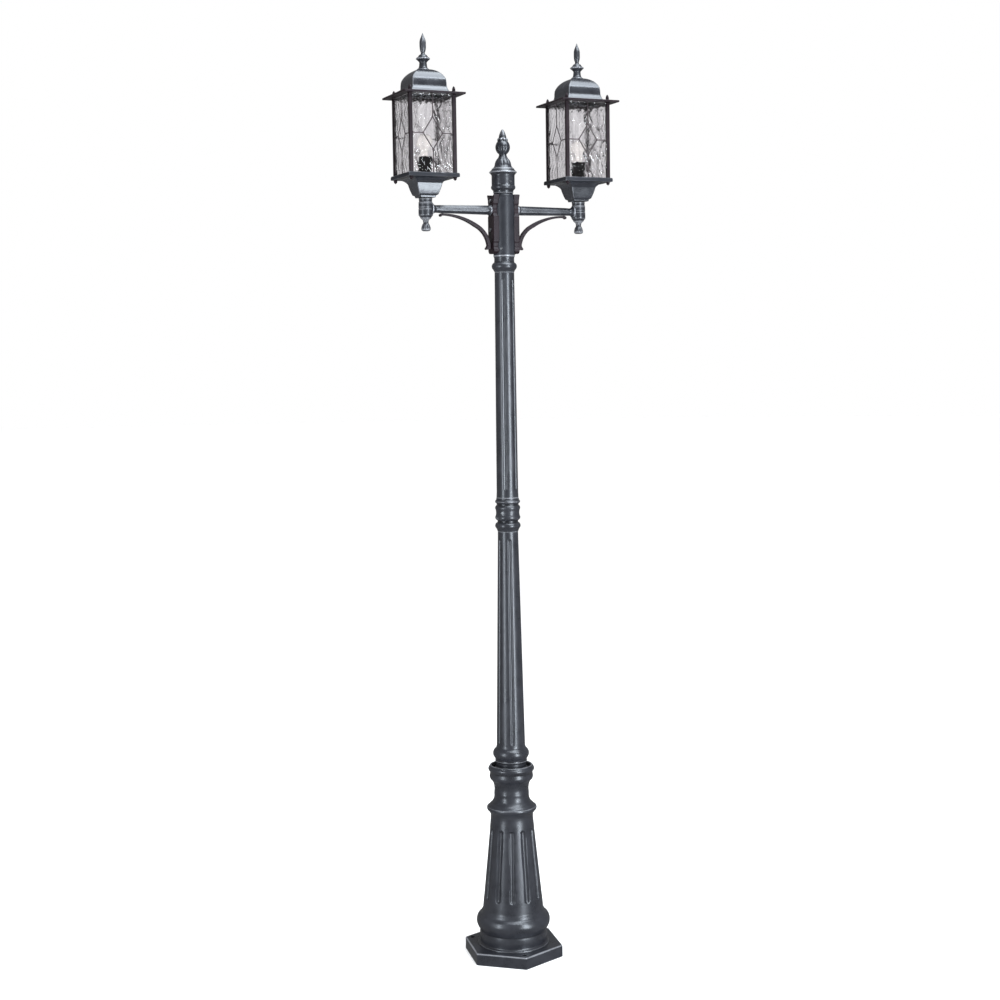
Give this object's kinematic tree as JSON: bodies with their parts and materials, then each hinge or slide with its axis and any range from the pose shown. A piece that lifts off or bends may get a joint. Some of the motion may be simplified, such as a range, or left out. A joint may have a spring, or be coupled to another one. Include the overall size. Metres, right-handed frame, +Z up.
{
  "type": "street lamp post",
  "caption": "Fluted cast lamp post on a hexagonal pedestal, with braced arms that carry square glazed lanterns with lift-off domed roofs.",
  "frame": {"origin": "foot of the column's axis, at the middle of the pedestal's underside", "axes": "+Z up along the column, X along the two arms, Y across them"},
  "size_m": [0.652, 0.2936, 2.6422],
  "materials": {
    "cast_metal": "dark charcoal paint rubbed with silver",
    "frame_metal": "dark paint rubbed with silver",
    "came_lead": "dull lead grey",
    "pane_glass": "clear rippled",
    "bulb_glass": "pearl",
    "lamp_metal": "plated",
    "screw_steel": "blackened",
    "holder_plastic": "moulded black",
    "terminal_plastic": "moulded ivory",
    "brass": "turned",
    "gasket_rubber": "moulded"
  },
  "bodies": {
    "post": {"base_pedestal": "cast_metal", "cap_set_screw": "screw_steel", "column_coupling": "cast_metal", "coupling_set_screws": "screw_steel", "earth_stud": "brass", "head_collar": "cast_metal", "head_hub": "cast_metal", "hub_set_screw": "screw_steel", "joint_sleeve": "screw_steel", "left_arm": "cast_metal", "left_arm_brace": "cast_metal", "left_arm_plate": "cast_metal", "left_arm_screws": "screw_steel", "left_arm_socket": "cast_metal", "left_corner_posts": "frame_metal", "left_drop_finial": "cast_metal", "left_eave_plate": "frame_metal", "left_frame_nuts": "frame_metal", "left_gasket": "gasket_rubber", "left_glass_panes": "pane_glass", "left_lamp_holder": "holder_plastic", "left_lantern_rod": "brass", "left_lantern_tray": "frame_metal", "left_pane_cames": "came_lead", "left_roof_bridge": "screw_steel", "lower_column": "cast_metal", "pedestal_set_screws": "screw_steel", "post_cap": "cast_metal", "post_finial": "cast_metal", "right_arm": "cast_metal", "right_arm_brace": "cast_metal", "right_arm_plate": "cast_metal", "right_arm_screws": "screw_steel", "right_arm_socket": "cast_metal", "right_corner_posts": "frame_metal", "right_drop_finial": "cast_metal", "right_eave_plate": "frame_metal", "right_frame_nuts": "frame_metal", "right_gasket": "gasket_rubber", "right_glass_panes": "pane_glass", "right_lamp_holder": "holder_plastic", "right_lantern_rod": "brass", "right_lantern_tray": "frame_metal", "right_pane_cames": "came_lead", "right_roof_bridge": "screw_steel", "rod_nuts": "brass", "terminal_block": "terminal_plastic", "terminal_board": "screw_steel", "terminal_screws": "brass", "upper_column": "cast_metal"},
    "left_roof": {"left_lantern_roof": "cast_metal"},
    "left_finial": {"left_roof_finial": "cast_metal"},
    "left_lamp": {"left_lamp_cap": "lamp_metal", "left_lamp_glass": "bulb_glass", "left_lamp_stem": "bulb_glass"},
    "right_roof": {"right_lantern_roof": "cast_metal"},
    "right_finial": {"right_roof_finial": "cast_metal"},
    "right_lamp": {"right_lamp_cap": "lamp_metal", "right_lamp_glass": "bulb_glass", "right_lamp_stem": "bulb_glass"}
  },
  "joints": [
    {"name": "left_roof_lift", "type": "slide", "parent": "post", "child": "left_roof", "axis": [0, 0, 1], "range_m": [0, 0.2]},
    {"name": "left_finial_turn", "type": "hinge", "parent": "left_roof", "child": "left_finial", "pos_m": [-0.236, 0, 2.56], "axis": [0, 0, 1], "continuous": true},
    {"name": "left_lamp_turn", "type": "hinge", "parent": "post", "child": "left_lamp", "pos_m": [-0.236, 0, 2.28], "axis": [0, 0, 1], "continuous": true},
    {"name": "right_roof_lift", "type": "slide", "parent": "post", "child": "right_roof", "axis": [0, 0, 1], "range_m": [0, 0.2]},
    {"name": "right_finial_turn", "type": "hinge", "parent": "right_roof", "child": "right_finial", "pos_m": [0.236, 0, 2.56], "axis": [0, 0, 1], "continuous": true},
    {"name": "right_lamp_turn", "type": "hinge", "parent": "post", "child": "right_lamp", "pos_m": [0.236, 0, 2.28], "axis": [0, 0, 1], "continuous": true}
  ]
}
